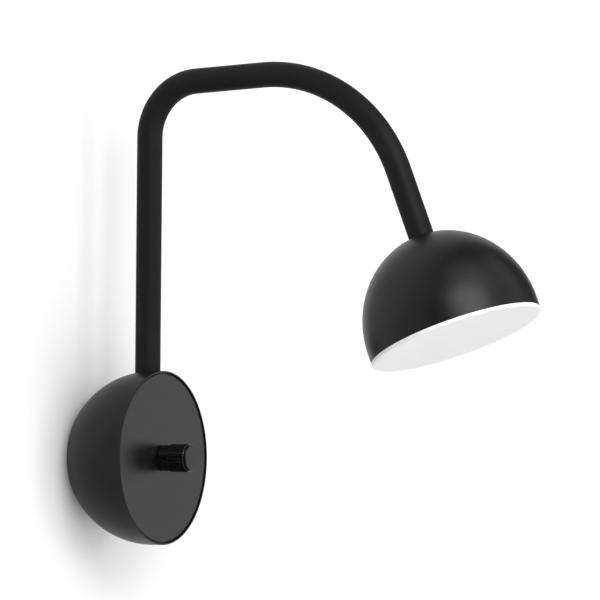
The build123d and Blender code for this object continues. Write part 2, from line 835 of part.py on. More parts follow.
def knob_grip():
    """Plain collar and fluted grip in one, hollow behind for the dimmer's nut."""
    grip = rod_y(grip_radius, at_depth(grip_front), at_depth(grip_rear))
    grip = chamfer(grip.edges().group_by(Axis.Y)[0], 0.4)
    grip = fillet(grip.edges().group_by(Axis.Y)[-1], 0.3)
    flute_x = grip_radius - flute_depth + flute_radius
    flute = rod_y(flute_radius, at_depth(grip_front - past), at_depth(flute_rear), x=flute_x)
    for step in range(flute_count):
        grip -= around_y(flute, step * 360 / flute_count)
    collar = rod_y(collar_radius, at_depth(grip_rear), at_depth(knob_rear))
    grip += fillet(collar.edges().group_by(Axis.Y)[-1], 0.4)
    nut_room_radius = 7.5
    grip -= rod_y(nut_room_radius, at_depth(insert_rear), at_depth(knob_rear + past))
    grip -= rod_y(insert_radius + tight_thread_gap, at_depth(insert_front), at_depth(insert_rear))
    spigot_hole = rod_y(
        cap_spigot_radius + tight_thread_gap, at_depth(grip_front - past), at_depth(cap_spigot_rear + 0.1)
    )
    return grip - spigot_hole


def knob_cap():
    """Flat end cap with a spigot, and a thin groove between it and the grip."""
    cap = rod_y(cap_radius, at_depth(cap_front), at_depth(cap_rear))
    cap = chamfer(cap.edges().group_by(Axis.Y)[0], 0.25)
    cap += rod_y(groove_radius, at_depth(cap_rear), at_depth(grip_front))
    return cap + rod_y(cap_spigot_radius, at_depth(grip_front), at_depth(cap_spigot_rear))


# ---------------------------------------------------------------- one file for each piece

base_pieces = [
    wall_bracket,
    wall_grommet,
    base_shell,
    lock_screw,
    chassis_plate,
    chassis_screws,
    leg_bracket,
    leg_bracket_screws,
    upper_bush,
    front_plate,
    dimmer_bridge,
    bridge_screws,
    dimmer_body,
    dimmer_washer,
    dimmer_nut,
    control_board,
    led_driver,
    driver_screws,
    terminal_block,
    terminal_screws,
    earth_lug,
    earth_screw,
    mains_leads,
    control_lead,
    base_lead,
]
arm_pieces = [
    arm_tube,
    leg_foot,
    stop_pin,
    friction_washer,
    spring_washer,
    retaining_nut,
    arm_lead,
    head_insert,
    head_nipple,
    head_washer,
    head_nut,
    head_shell,
    led_carrier,
    carrier_screws,
    led_board,
    board_screws,
    led_chips,
    reflector,
    diffuser,
]
knob_pieces = [dimmer_shaft, knob_insert, knob_grip, knob_cap]

os.makedirs("parts", exist_ok=True)
for make in base_pieces + arm_pieces + knob_pieces:
    made = make()
    shape = Compound(children=made) if isinstance(made, list) else made
    export_step(shape, f"parts/{make.__name__}.step")
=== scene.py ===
"""Looks of the wall sconce: a domed base on the wall, a bent tube arm, and a domed head with an opal disc.

Metres, in the frame of the construction: the wall is y = 0, the light stands out towards -Y, and +Z is up.
Sizes of the pieces are written in millimetres times MM.
"""
from math import cos, pi, radians, sin

import bpy
import numpy as np
from mathutils import Matrix, Vector


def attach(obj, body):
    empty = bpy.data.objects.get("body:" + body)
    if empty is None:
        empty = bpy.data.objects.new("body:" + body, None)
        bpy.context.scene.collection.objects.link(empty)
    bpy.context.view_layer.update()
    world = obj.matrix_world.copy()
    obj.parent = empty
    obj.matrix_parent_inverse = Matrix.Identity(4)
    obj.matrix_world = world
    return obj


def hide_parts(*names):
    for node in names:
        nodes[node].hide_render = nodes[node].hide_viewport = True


MM = 0.001
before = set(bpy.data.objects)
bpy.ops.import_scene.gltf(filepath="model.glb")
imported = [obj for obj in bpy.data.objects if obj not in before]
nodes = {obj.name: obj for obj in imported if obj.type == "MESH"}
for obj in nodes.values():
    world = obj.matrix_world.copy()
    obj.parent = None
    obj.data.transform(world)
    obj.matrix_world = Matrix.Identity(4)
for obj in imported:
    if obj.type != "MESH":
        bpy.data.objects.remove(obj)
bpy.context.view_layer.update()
scene = bpy.context.scene
scene.view_settings.view_transform = "Standard"


# ---------------------------------------------------------------- camera
# The picture is taken from the light's left and slightly below it, from far away with a long lens.
# The middle of the base's rim lies at rim_x, rim_y in the picture, which is frame_side pixels wide.

view_azimuth = radians(-61.113)
view_elevation = radians(-1.795)
view_roll = radians(0.479)
view_distance = 4.5
frame_side = 600
pixels_per_radian = 6027.4
rim_x, rim_y = 163.946, 457.950
rim_middle = Vector((0, -61 * MM, 0))
sensor_width = 36.0


def towards(azimuth, elevation):
    """Direction from the light to a place round it: azimuth 0 is straight out from the wall, 90 along +X.

    x is the azimuth's sine and -y its cosine, both times the elevation's cosine; z is the elevation's sine.
    """
    return Vector((
        sin(azimuth) * cos(elevation),
        -cos(azimuth) * cos(elevation),
        sin(elevation),
    ))


towards_camera = towards(view_azimuth, view_elevation)
level_right = Vector((cos(view_azimuth), sin(view_azimuth), 0))
level_up = towards_camera.cross(level_right)
right = cos(view_roll) * level_right + sin(view_roll) * level_up
up = cos(view_roll) * level_up - sin(view_roll) * level_right
across = (rim_x - frame_side / 2) * view_distance / pixels_per_radian
above = (frame_side / 2 - rim_y) * view_distance / pixels_per_radian

camera_data = bpy.data.cameras.new("camera")
camera_data.sensor_width = sensor_width
camera_data.lens = pixels_per_radian / frame_side * sensor_width
camera_data.clip_start = 0.1
camera_data.clip_end = 50.0
camera = bpy.data.objects.new("camera", camera_data)
scene.collection.objects.link(camera)
camera_place = rim_middle - across * right - above * up + view_distance * towards_camera
camera_turn = Matrix((right, up, towards_camera)).transposed().to_4x4()
camera.matrix_world = Matrix.Translation(camera_place) @ camera_turn
scene.camera = camera


# ---------------------------------------------------------------- wall, floor and lamps
# A white wall behind the light and a pale floor below it, both wider than the picture. They keep the light's
# soft shadow, cast by the lamps and deepened close round the light by painted shade, and from behind they are
# clear, so that the light's back can be lit and seen. Soft boxes stand round the light at lamp_distance and
# are aimed at its middle, and the world adds a little light all round.

wall_gap = 0.3 * MM
wall_half = 3.0
floor_height = -0.45
floor_half = 12.0
corner_reach = 0.24


def node_tree(data):
    """Empties a data-block's node tree, and returns functions that add a node and join two sockets.

    Each setting of a new node is the value of the input with its name, or else of the property.
    """
    data.use_nodes = True
    tree = data.node_tree
    tree.nodes.clear()

    def add(kind, **settings):
        node = tree.nodes.new(kind)
        for name, value in settings.items():
            if name in node.inputs:
                node.inputs[name].default_value = value
            else:
                setattr(node, name, value)
        return node

    return add, tree.links.new


def backdrop_paint(name, colour, lift):
    """Matt paint in front, clear from behind, that throws no shadow of its own.

    The lift is light of its own, for what the camera, mirrors and glass see of the paint: it makes the paint
    white in the picture. It fades within corner_reach of a corner, as daylight does, and this fading paints
    shade round what stands on the paint, such as the light's base.
    """
    material = bpy.data.materials.new(name)
    add, join = node_tree(material)
    path = add("ShaderNodeLightPath")
    seen = add("ShaderNodeMath", operation="MAXIMUM")
    join(path.outputs["Is Camera Ray"], seen.inputs[0])
    join(path.outputs["Is Glossy Ray"], seen.inputs[1])
    seen_through = add("ShaderNodeMath", operation="MAXIMUM")
    join(seen.outputs[0], seen_through.inputs[0])
    join(path.outputs["Is Transmission Ray"], seen_through.inputs[1])
    # Painted shade: the lift fades near a corner, so the paint darkens round the light where it meets the
    # wall.
    corner_shaded_lift = add(
        "ShaderNodeAmbientOcclusion",
        samples=16,
        Distance=corner_reach,
        Color=(lift, lift, lift, 1),
    )
    strength = add("ShaderNodeMath", operation="MULTIPLY")
    join(seen_through.outputs[0], strength.inputs[0])
    join(corner_shaded_lift.outputs["Color"], strength.inputs[1])
    glow = add("ShaderNodeEmission")
    join(strength.outputs[0], glow.inputs["Strength"])
    paint = add("ShaderNodeBsdfDiffuse", Color=(colour, colour, colour, 1))
    both = add("ShaderNodeAddShader")
    join(paint.outputs[0], both.inputs[0])
    join(glow.outputs[0], both.inputs[1])
    clear = add("ShaderNodeMath", operation="MAXIMUM")
    join(add("ShaderNodeNewGeometry").outputs["Backfacing"], clear.inputs[0])
    join(path.outputs["Is Shadow Ray"], clear.inputs[1])
    side = add("ShaderNodeMixShader")
    join(clear.outputs[0], side.inputs[0])
    join(both.outputs[0], side.inputs[1])
    join(add("ShaderNodeBsdfTransparent").outputs[0], side.inputs[2])
    join(side.outputs[0], add("ShaderNodeOutputMaterial").inputs["Surface"])
    return material


def flat_sheet(name, corner, side_a, side_b, paint):
    """A rectangle: a corner, the corner plus one side, plus both sides, and plus the other side."""
    points = [corner, corner + side_a, corner + side_a + side_b, corner + side_b]
    mesh = bpy.data.meshes.new(name)
    mesh.from_pydata(points, [], [(0, 1, 2, 3)])
    mesh.materials.append(paint)
    sheet = bpy.data.objects.new(name, mesh)
    scene.collection.objects.link(sheet)


flat_sheet(
    "wall",
    Vector((-wall_half, wall_gap, -wall_half)),
    Vector((2 * wall_half, 0, 0)),
    Vector((0, 0, 2 * wall_half)),
    backdrop_paint("wall_paint", colour=0.28, lift=0.68),
)
flat_sheet(
    "floor",
    Vector((-floor_half, -floor_half, floor_height)),
    Vector((2 * floor_half, 0, 0)),
    Vector((0, 2 * floor_half, 0)),
    backdrop_paint("floor_paint", colour=0.7, lift=0.05),
)

lamp_distance = 3.5
aim = Vector((0, -0.15, 0.1))
world_strength = 0.03


def soft_lamp(name, azimuth, elevation, width, height, strength):
    """A soft box aimed at the light; strength is how bright a white surface that faces it renders.

    A surface that renders at 1 gets pi watts per square metre, and the box gives a power over pi and over the
    distance squared, so the power is the strength times pi squared times the distance squared.
    """
    direction = towards(radians(azimuth), radians(elevation))
    data = bpy.data.lights.new(name, "AREA")
    data.shape = "RECTANGLE"
    data.size, data.size_y = width, height
    data.energy = strength * pi**2 * lamp_distance**2
    lamp = bpy.data.objects.new(name, data)
    scene.collection.objects.link(lamp)
    lamp.location = aim + lamp_distance * direction
    lamp.rotation_mode = "QUATERNION"
    lamp.rotation_quaternion = direction.to_track_quat("Z", "Y")


soft_lamp("key", azimuth=-37, elevation=29, width=2.7, height=1.6, strength=1.2)
soft_lamp("high", azimuth=-25, elevation=56, width=2.4, height=2.0, strength=0.3)
soft_lamp("front", azimuth=15, elevation=5, width=0.9, height=0.9, strength=0.28)
soft_lamp("side", azimuth=60, elevation=0, width=1.7, height=1.7, strength=0.14)
soft_lamp("rear", azimuth=-165, elevation=25, width=2.0, height=2.0, strength=0.45)
soft_lamp("fill", azimuth=32, elevation=40, width=3.0, height=2.4, strength=0.24)

world = bpy.data.worlds.new("studio")
scene.world = world
add, join = node_tree(world)
sky = add("ShaderNodeBackground", Color=(1, 1, 1, 1), Strength=world_strength)
join(sky.outputs[0], add("ShaderNodeOutputWorld").inputs["Surface"])


# ---------------------------------------------------------------- wall bracket
# A round zinc-plated steel plate, pressed with two slots for its wall screws, two hooks that the base hangs
# on and a tab for the lock screw. Every small steel part inside the light has the same plating.

noise_detail = 3.0
noise_roughness = 0.55
noise_reach = 0.3, 0.7
tint_spread = 0.1
bump_strength = 0.4
# A Mix node has sockets for every type of data: these are its two colours and the mixed colour.
dark_socket, light_socket, mixed_socket = 6, 7, 2


class Look:
    """A material with a Principled surface, and ways to texture it in the piece's own coordinates."""

    def __init__(self, name):
        self.material = bpy.data.materials.new(name)
        self.add, self.join = node_tree(self.material)
        principled = self.add("ShaderNodeBsdfPrincipled")
        self.join(principled.outputs[0], self.add("ShaderNodeOutputMaterial").inputs["Surface"])
        self.surface = principled.inputs
        self.place = self.add("ShaderNodeTexCoord").outputs

    def noise(self, size, low, high, stretch=(1, 1, 1)):
        """Noise with features of a size, from low to high where it goes through noise_reach, which holds
        nearly all of it; stretch squeezes the features by this much along each axis."""
        squeezed = self.add("ShaderNodeMapping", Scale=stretch)
        self.join(self.place["Object"], squeezed.inputs["Vector"])
        grains = self.add(
            "ShaderNodeTexNoise", Scale=1 / size, Detail=noise_detail, Roughness=noise_roughness
        )
        self.join(squeezed.outputs[0], grains.inputs["Vector"])
        spread = self.add("ShaderNodeMapRange")
        self.join(grains.outputs["Fac"], spread.inputs["Value"])
        for socket, value in zip(("From Min", "From Max", "To Min", "To Max"), (*noise_reach, low, high)):
            spread.inputs[socket].default_value = value
        return spread.outputs["Result"]

    def tint(self, colour, share):
        """The colour, from tint_spread darker to as much lighter as the share's socket goes from 0 to 1."""
        mix = self.add("ShaderNodeMix", data_type="RGBA")
        mix.inputs[dark_socket].default_value = (*(c * (1 - tint_spread) for c in colour), 1)
        mix.inputs[light_socket].default_value = (*(min(1, c * (1 + tint_spread)) for c in colour), 1)
        self.join(share, mix.inputs["Factor"])
        self.join(mix.outputs[mixed_socket], self.surface["Base Color"])

    def finish(self, colour, clouds, roughness, spread, grain, bumps, depth, stretch=(1, 1, 1)):
        """Clouds of a size in the colour, grain of a size in the roughness, which it spreads to both sides,
        and bumps of a size and depth."""
        self.tint(colour, self.noise(clouds, 0, 1))
        gloss_marks = self.noise(grain, roughness - spread, roughness + spread, stretch)
        self.join(gloss_marks, self.surface["Roughness"])
        bump = self.add("ShaderNodeBump", Strength=bump_strength, Distance=depth)
        self.join(self.noise(bumps, 0, 1, stretch), bump.inputs["Height"])
        self.join(bump.outputs["Normal"], self.surface["Normal"])


def bare_metal(name, colour, roughness, grain, stretch=(1, 1, 1)):
    """Metal with clouds in its colour and fine marks in its gloss; stretch squeezes the marks into lines."""
    look = Look(name)
    look.surface["Metallic"].default_value = 1.0
    look.finish(
        colour,
        clouds=6 * MM,
        roughness=roughness,
        spread=0.08,
        grain=grain,
        bumps=grain,
        depth=0.01 * MM,
        stretch=stretch,
    )
    return look.material


def dress(material, *names):
    """Gives the material to these pieces of the construction."""
    for name in names:
        nodes[name].material_slots[0].material = material


zinc_steel = bare_metal("zinc_steel", (0.62, 0.63, 0.65), roughness=0.35, grain=0.9 * MM)
dress(zinc_steel, "wall_bracket", "lock_screw")


# ---------------------------------------------------------------- wall grommet
# A soft black bush, moulded in rubber and pressed into the bracket's middle hole, where the mains cable comes
# out of the wall.


def moulded(name, colour, roughness, grain, gloss=0.5):
    """Moulded plastic or rubber: faint clouds in its colour and a fine spark-eroded grain."""
    look = Look(name)
    look.surface["Specular IOR Level"].default_value = gloss
    look.finish(
        colour, clouds=9 * MM, roughness=roughness, spread=0.05, grain=grain, bumps=grain, depth=0.02 * MM
    )
    return look.material


grommet_rubber = moulded("grommet_rubber", (0.03, 0.03, 0.03), roughness=0.65, grain=0.4 * MM)
dress(grommet_rubber, "wall_grommet")


# ---------------------------------------------------------------- base shell
# A die-cast dome, cut flat by the wall, with a thin lip round its open front, a ledge for the front plate
# and a round opening behind. It is powder coated matt black, and a set screw below locks it to its bracket.
# The arm goes in through a hole on top.

base_radius = 65 * MM
base_rim = -61 * MM
base_skirt = 8.8 * MM
base_crown = 65.3 * MM
shell_wall = 2.5 * MM
inner_radius = base_radius - shell_wall
lip_wall = 1.3 * MM
ledge_front = -58.6 * MM
ledge_back = -57.1 * MM
ledge_radius = 61.2 * MM
flange_front = -2.5 * MM
flange_radius = 33 * MM
round_edge = 0.4 * MM
fine_edge = 0.2 * MM

edge_steps = 6
dome_columns = 256
dome_rows = 56
dome_step = 2.5 * MM
flat_support = 0.2 * MM
sharp_bend = radians(40)


def spins(angle):
    """Matrices that turn a point of a plane to the left by each angle: cosine and -sine, sine and cosine."""
    return np.stack([np.cos(angle), -np.sin(angle), np.sin(angle), np.cos(angle)], -1).reshape(-1, 2, 2)


def rounded_outline(corners):
    """Points round a closed outline of (across, along, radius) corners.

    A corner with a radius is replaced by the arc that touches both of its sides: it starts and ends the
    radius divided by the tangent of half the corner's angle away from the corner.
    """
    corners = np.asarray(corners, float)
    points = []
    for before, here, after in zip(np.roll(corners, 1, 0), corners, np.roll(corners, -1, 0)):
        corner, radius = here[:2], here[2]
        if radius == 0:
            points.append(corner[None])
            continue
        back = (before[:2] - corner) / np.linalg.norm(before[:2] - corner)
        ahead = (after[:2] - corner) / np.linalg.norm(after[:2] - corner)
        half = np.arccos(np.clip(back @ ahead, -1, 1)) / 2
        middle = corner + (back + ahead) / np.linalg.norm(back + ahead) * radius / np.sin(half)
        start = corner + back * radius / np.tan(half) - middle
        turn = (np.pi - 2 * half) * np.sign(back[0] * ahead[1] - back[1] * ahead[0])
        points.append(middle + spins(-turn * np.linspace(0, 1, edge_steps + 1)) @ start)
    return np.concatenate(points)


def plain(points):
    """(across, along) points as corners with no radius."""
    return [(*p, 0.0) for p in points]


def sampled(outline, longest, closed=True):
    """The outline with its long sides divided evenly, so that no part is longer than this, and with one more
    point flat_support from each of their ends, which keeps them flat up to the rounded edges."""
    ends = np.roll(outline, -1, 0) if closed else outline[1:]
    rows = []
    for start, end in zip(outline, ends):
        length = np.linalg.norm(end - start)
        count = max(1, int(np.ceil(length / longest)))
        share = np.arange(count) / count
        if count > 1:
            share = np.sort(np.append(share, [flat_support / length, 1 - flat_support / length]))
        rows.append(start + (end - start) * share[:, None])
    if not closed:
        rows.append(outline[-1:])
    return np.concatenate(rows)


def around_y(outline, angle):
    """(radius, y) points turned about the Y axis to each angle, as a grid: x is the radius times the cosine
    and z the radius times the sine."""
    radius, y = outline[:, :1], outline[:, 1:]
    x, z = radius * np.cos(angle), radius * np.sin(angle)
    return np.stack([x, np.broadcast_to(y, x.shape), z], -1)


def full_turn(columns):
    """Angles once round, evenly spaced, without the last."""
    return np.linspace(0, 2 * np.pi, columns, endpoint=False)


def closed_round(numbers):
    """A grid's point numbers with the first column again at the end."""
    return np.concatenate([numbers, numbers[:, :1]], 1)


def numbered(rows, columns, first=0, poles=False):
    """The point numbers of a grid that is closed round, with the first row again at the end. With poles no
    row is repeated, and the first and last rows are one point each."""
    numbers = first + np.arange(rows * columns).reshape(rows, columns)
    if poles:
        numbers[0], numbers[-1] = numbers[0, 0], numbers[-1, 0]
    else:
        numbers = np.concatenate([numbers, numbers[:1]])
    return closed_round(numbers)


def grid_faces(numbers, kept=None):
    """Four-sided faces between neighbouring rows and columns; next to a pole, the last corner repeats."""
    quads = np.stack([numbers[:-1, :-1], numbers[1:, :-1], numbers[1:, 1:], numbers[:-1, 1:]], -1)
    quads = quads.reshape(-1, 4) if kept is None else quads[kept]
    at_last_pole = quads[:, 1] == quads[:, 2]
    quads[at_last_pole] = quads[at_last_pole][:, [0, 1, 3, 3]]
    return quads


def make_piece(name, points, faces, body, replaced, material):
    """A mesh piece that rides on a body, takes a slot's finish and stands for the nodes it replaces.

    Points that no face uses are left out, and edges that bend by more than sharp_bend stay sharp.
    """
    used, faces = np.unique(faces, return_inverse=True)
    points, faces = np.reshape(points, (-1, 3))[used], faces.reshape(-1, 4)
    three_sided = (faces[:, 0] == faces[:, 3]) | (faces[:, 2] == faces[:, 3])
    mesh = bpy.data.meshes.new(name)
    mesh.from_pydata(points.tolist(), [], faces[~three_sided].tolist() + faces[three_sided, :3].tolist())
    mesh.shade_smooth()
    mesh.set_sharp_from_angle(angle=sharp_bend)
    mesh.materials.append(material)
    piece = bpy.data.objects.new(name, mesh)
    scene.collection.objects.link(piece)
    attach(piece, body)
    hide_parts(*replaced)


def dome_side(radius, skirt, crown, rim, high, count):
    """Quarter ellipse from the skirt's end up to the angle high, as (radius, y) points: the radius shrinks
    with the cosine and y grows with the sine of the angle."""
    angle = np.linspace(0, high, count)
    return np.stack([radius * np.cos(angle), rim + skirt + crown * np.sin(angle)], -1)


inner_crown = base_crown - shell_wall
outer_end = np.arcsin((-base_rim - base_skirt) / base_crown)
inner_end = np.arcsin((flange_front - base_rim - base_skirt) / inner_crown)
outer_side = dome_side(base_radius, base_skirt, base_crown, base_rim, outer_end, dome_rows)
inner_side = dome_side(inner_radius, base_skirt, inner_crown, base_rim, inner_end, dome_rows)
base_outline = sampled(
    rounded_outline(
        [(base_radius, base_rim, round_edge)]
        + plain(outer_side[:-1])
        + [
            (*outer_side[-1], fine_edge),
            (flange_radius, 0, fine_edge),
            (flange_radius, flange_front, fine_edge),
        ]
        + plain(inner_side[::-1])
        + [
            (inner_radius, ledge_back, 0.0),
            (ledge_radius, ledge_back, fine_edge / 2),
            (ledge_radius, ledge_front, fine_edge / 2),
            (base_radius - lip_wall, ledge_front, 0.0),
            (base_radius - lip_wall, base_rim, fine_edge),
        ]
    ),
    dome_step,
)
base_points = around_y(base_outline, full_turn(dome_columns)).reshape(-1, 3)
base_numbers = numbered(len(base_outline), dome_columns)
base_kept = np.ones((len(base_outline), dome_columns), bool)

# The two holes in the dome, for the arm's leg above and the lock screw below: the middle's y, the radius, and
# the window cut for each in the grid. It is a number of rows long, half_columns wide to each side, and starts
# at the row nearest to a place.
leg_y = -46.3 * MM
leg_hole_radius = 9.8 * MM
leg_rows, leg_half_columns = 23, 10
leg_window_ahead = 12.2 * MM
lock_y = -9 * MM
lock_hole_radius = 2.05 * MM
lock_rows, lock_half_columns = 10, 4
lock_window_half = 4 * MM
slide_rings = 7
bend_rings = 4


def nearest_row(place):
    """The row of the base's grid that lies nearest to a (radius, y) place."""
    return int(np.argmin(np.linalg.norm(base_outline - place, axis=1)))


def dome_height(x, y, inset):
    """How far the dome's surface, moved in by inset, lies above the Y axis: full radius along the skirt, then
    the quarter ellipse, with the height the other side of a right triangle of that radius and x."""
    rise = np.clip((y - base_rim - base_skirt) / (base_crown - inset), 0, 1)
    return np.sqrt((base_radius - inset) ** 2 * (1 - rise**2) - x**2)


def window(first_row, row_count, middle_column, half_columns):
    """Takes a window out of the base's grid and returns the point numbers round it."""
    last_row = first_row + row_count
    low, high = middle_column - half_columns, middle_column + half_columns
    base_kept[first_row:last_row, low:high] = False
    return np.concatenate([
        base_numbers[first_row, low:high],
        base_numbers[first_row:last_row, high],
        base_numbers[last_row, high:low:-1],
        base_numbers[last_row:first_row:-1, low],
    ])


def hole_rings(edge, middle, hole, inset, side):
    """Rings from a window's edge in to a round hole along Z and round its edge.

    Each point slides in plan along its own ray to the hole's middle, and takes the dome's height there. The
    edge then turns down a quarter circle: the radius falls with the sine and the height with the cosine.
    """
    ray = edge[:, :2] - middle
    reach = np.linalg.norm(ray, axis=1, keepdims=True)
    slide = np.linspace(0, 1, slide_rings + 1)[1:, None, None]
    bend = np.linspace(0, np.pi / 2, bend_rings + 1)[1:, None, None]
    over = reach + slide * (hole + fine_edge - reach)
    down = np.broadcast_to(hole + fine_edge * (1 - np.sin(bend)), (bend_rings, *reach.shape))
    radius = np.concatenate([over, down])
    drop = np.concatenate([np.zeros(slide_rings), fine_edge * (1 - np.cos(bend[:, 0, 0]))])[:, None]
    x, y = np.moveaxis(middle + ray / reach * radius, -1, 0)
    inwards = -1 if inset else 1
    z = side * (dome_height(x, y, inset) - inwards * drop)
    return np.stack([x, y, z], -1)


def drill(points, hole, y, side, row_count, half_columns, outer_start, inner_start):
    """A round hole along Z through the base's wall: a window in the outer and the inner side, rings in to the
    hole on both, and the hole's own wall between the two. Returns the points with the rings' after them, and
    the hole's faces.

    The inner side's rows run back to the rim, so its last ring is met backwards, from its last row's low end.
    """
    middle_column = dome_columns // 4 if side > 0 else 3 * dome_columns // 4
    middle = np.array([0.0, y])
    faces = []
    last_rings = []
    for start, inset in ((outer_start, 0.0), (inner_start, shell_wall)):
        loop = window(nearest_row(start), row_count, middle_column, half_columns)
        rings = hole_rings(points[loop], middle, hole, inset, side)
        ring_numbers = len(points) + np.arange(rings.shape[0] * rings.shape[1]).reshape(rings.shape[:2])
        points = np.concatenate([points, rings.reshape(-1, 3)])
        faces.append(grid_faces(closed_round(np.concatenate([loop[None], ring_numbers]))))
        last_rings.append(ring_numbers[-1])
    outer_ring, inner_ring = last_rings
    count = len(outer_ring)
    partner = (4 * half_columns + row_count - np.arange(count)) % count
    faces.append(grid_faces(closed_round(np.stack([outer_ring, inner_ring[partner]]))))
    return points, faces


base_points, leg_faces = drill(
    base_points, leg_hole_radius, leg_y, 1, leg_rows, leg_half_columns,
    (base_radius, leg_y - leg_window_ahead),
    base_outline[nearest_row((inner_radius, ledge_back)) - leg_rows],
)
lock_front, lock_back = lock_y - lock_window_half, lock_y + lock_window_half
base_points, lock_faces = drill(
    base_points, lock_hole_radius, lock_y, -1, lock_rows, lock_half_columns,
    (dome_height(0, lock_front, 0), lock_front),
    (dome_height(0, lock_back, shell_wall), lock_back),
)

# Bosses stand on the dome's inside: round the leg's bush, round the lock screw, and three for the chassis.
boss_columns = 48
leg_boss_bore, leg_boss_radius, leg_boss_foot = 10.2 * MM, 11.5 * MM, 49 * MM
lock_boss_radius, lock_boss_foot = 4.5 * MM, 34 * MM
screw_bore, screw_boss_radius, screw_boss_foot = 1.55 * MM, 4 * MM, -29.5 * MM
screw_circle = 44 * MM
screw_turns = np.radians([30, 150, 270])


def hollow_boss(middle, bore, outside, foot, reach, place):
    """A boss with a bore, from its flat foot to the middle of the dome's wall, as a closed ring of four rows:
    u is the middle's plus the radius times the cosine, and v the middle's plus the radius times the sine."""
    angle = full_turn(boss_columns)
    rows = []
    for radius, top in ((bore, False), (outside, False), (outside, True), (bore, True)):
        u, v = middle[0] + radius * np.cos(angle), middle[1] + radius * np.sin(angle)
        height = reach(u, v) if top else np.full_like(u, foot)
        rows.append(np.stack(place(u, v, height), -1))
    return np.stack(rows)


def wall_above(u, v):
    """Height of the middle of the dome's wall over a point beside the Y axis."""
    return dome_height(u, v, shell_wall / 2)


def wall_behind(u, v):
    """How far back the middle of the dome's wall lies from a point of the rim's plane: the crown times the
    root of one less the squared share of the radius."""
    half_wall = shell_wall / 2
    share = np.hypot(u, v) / (base_radius - half_wall)
    return base_rim + base_skirt + (base_crown - half_wall) * np.sqrt(1 - share**2)


def upwards(u, v, height):
    """A boss's points, standing on the dome's top; x runs the other way so that its faces point outwards."""
    return -u, v, height


def downwards(u, v, height):
    """A boss's points, hanging from the dome's underside."""
    return u, v, -height


def backwards(u, v, depth):
    """A boss's points, lying along the Y axis."""
    return u, depth, v


bosses = [
    hollow_boss((0, leg_y), leg_boss_bore, leg_boss_radius, leg_boss_foot, wall_above, upwards),
    hollow_boss((0, lock_y), lock_hole_radius, lock_boss_radius, lock_boss_foot, wall_above, downwards),
]
for screw_middle in zip(screw_circle * np.cos(screw_turns), screw_circle * np.sin(screw_turns)):
    bosses.append(
        hollow_boss(screw_middle, screw_bore, screw_boss_radius, screw_boss_foot, wall_behind, backwards)
    )
base_faces = [grid_faces(base_numbers, base_kept), *leg_faces, *lock_faces]
for boss in bosses:
    base_faces.append(grid_faces(numbered(*boss.shape[:2], first=len(base_points))))
    base_points = np.concatenate([base_points, boss.reshape(-1, 3)])


def powder_coat(name, colour, roughness, gloss, peel):
    """Baked powder coat: faint clouds in its colour, fine orange peel, and gloss that varies in spots."""
    look = Look(name)
    look.surface["Specular IOR Level"].default_value = gloss
    look.finish(
        (colour,) * 3,
        clouds=22 * MM,
        roughness=roughness,
        spread=0.04,
        grain=1.1 * MM,
        bumps=peel,
        depth=0.02 * MM,
    )
    return look.material


shell_coat = powder_coat("matt_shell_black", colour=0.003, roughness=0.38, gloss=0.18, peel=0.8 * MM)
make_piece(
    "base_dome",
    base_points,
    np.concatenate(base_faces),
    "base",
    ["base_shell"],
    shell_coat,
)


# ---------------------------------------------------------------- chassis
# A zinc-plated steel plate behind the dimmer, screwed to three of the shell's bosses. It carries the driver
# in its white case, the mains terminals with their brass screws, and the earth lug.

driver_white = moulded("driver_case", (0.86, 0.86, 0.84), roughness=0.45, grain=0.5 * MM)
block_plastic = moulded("block_plastic", (0.80, 0.80, 0.78), roughness=0.5, grain=0.5 * MM)
brass = bare_metal("brass", (0.78, 0.62, 0.32), roughness=0.3, grain=0.5 * MM)
dress(zinc_steel, "chassis_plate", "chassis_screws", "driver_screws")
dress(driver_white, "led_driver")
dress(block_plastic, "terminal_block")
dress(brass, "terminal_screws", "earth_lug", "earth_screw")


# ---------------------------------------------------------------- leads
# Leads in grey PVC sleeves: from the terminals to the driver, from the driver to the dimmer's board, and from
# there through the arm to the head.

lead_grey = moulded("lead_grey", (0.35, 0.35, 0.36), roughness=0.5, grain=0.3 * MM)
dress(lead_grey, "mains_leads", "control_lead", "base_lead", "arm_lead")


# ---------------------------------------------------------------- arm bearing
# The arm turns between a nylon bush in the shell and a bracket below, with a fibre washer, a spring washer
# and a nut for friction, and a pin that stops it at either end.

nylon = moulded("nylon", (0.85, 0.84, 0.80), roughness=0.4, grain=0.6 * MM)
fibre = moulded("fibre", (0.30, 0.16, 0.10), roughness=0.6, grain=0.2 * MM)
spring_steel = bare_metal("spring_steel", (0.42, 0.41, 0.40), roughness=0.3, grain=0.4 * MM)
dress(zinc_steel, "leg_bracket", "leg_bracket_screws", "leg_foot", "stop_pin", "retaining_nut")
dress(nylon, "upper_bush")
dress(fibre, "friction_washer")
dress(spring_steel, "spring_washer")


# ---------------------------------------------------------------- arm tube
# Steel tube of 19 mm, drawn round two bends: up from the base, out from the wall and down to the head. Its
# powder coat is duller than the domes'. Its foot stands in the bearing and its upper end holds the head.

tube_radius = 9.5 * MM
tube_bore = 8.0 * MM
leg_bottom = 36.5 * MM
leg_top = 239.6 * MM
first_bend_radius = 41.65 * MM
first_bend_turn = radians(86.85)
top_run = 57.5 * MM
second_bend_radius = 116.1 * MM
second_bend_turn = radians(71.45)
last_run = 130.7 * MM
head_skirt = 8.1 * MM
head_crown = 70.4 * MM
seat_sink = 0.9 * MM

tube_columns = 96
straight_step = 6 * MM
first_bend_step = 1.5 * MM
second_bend_step = 2.5 * MM


def run_points(start, direction, length):
    """Points along a straight run from its start, without its end: even shares of the length along it."""
    count = max(1, int(np.ceil(length / straight_step)))
    return start + direction * length * np.arange(count)[:, None] / count


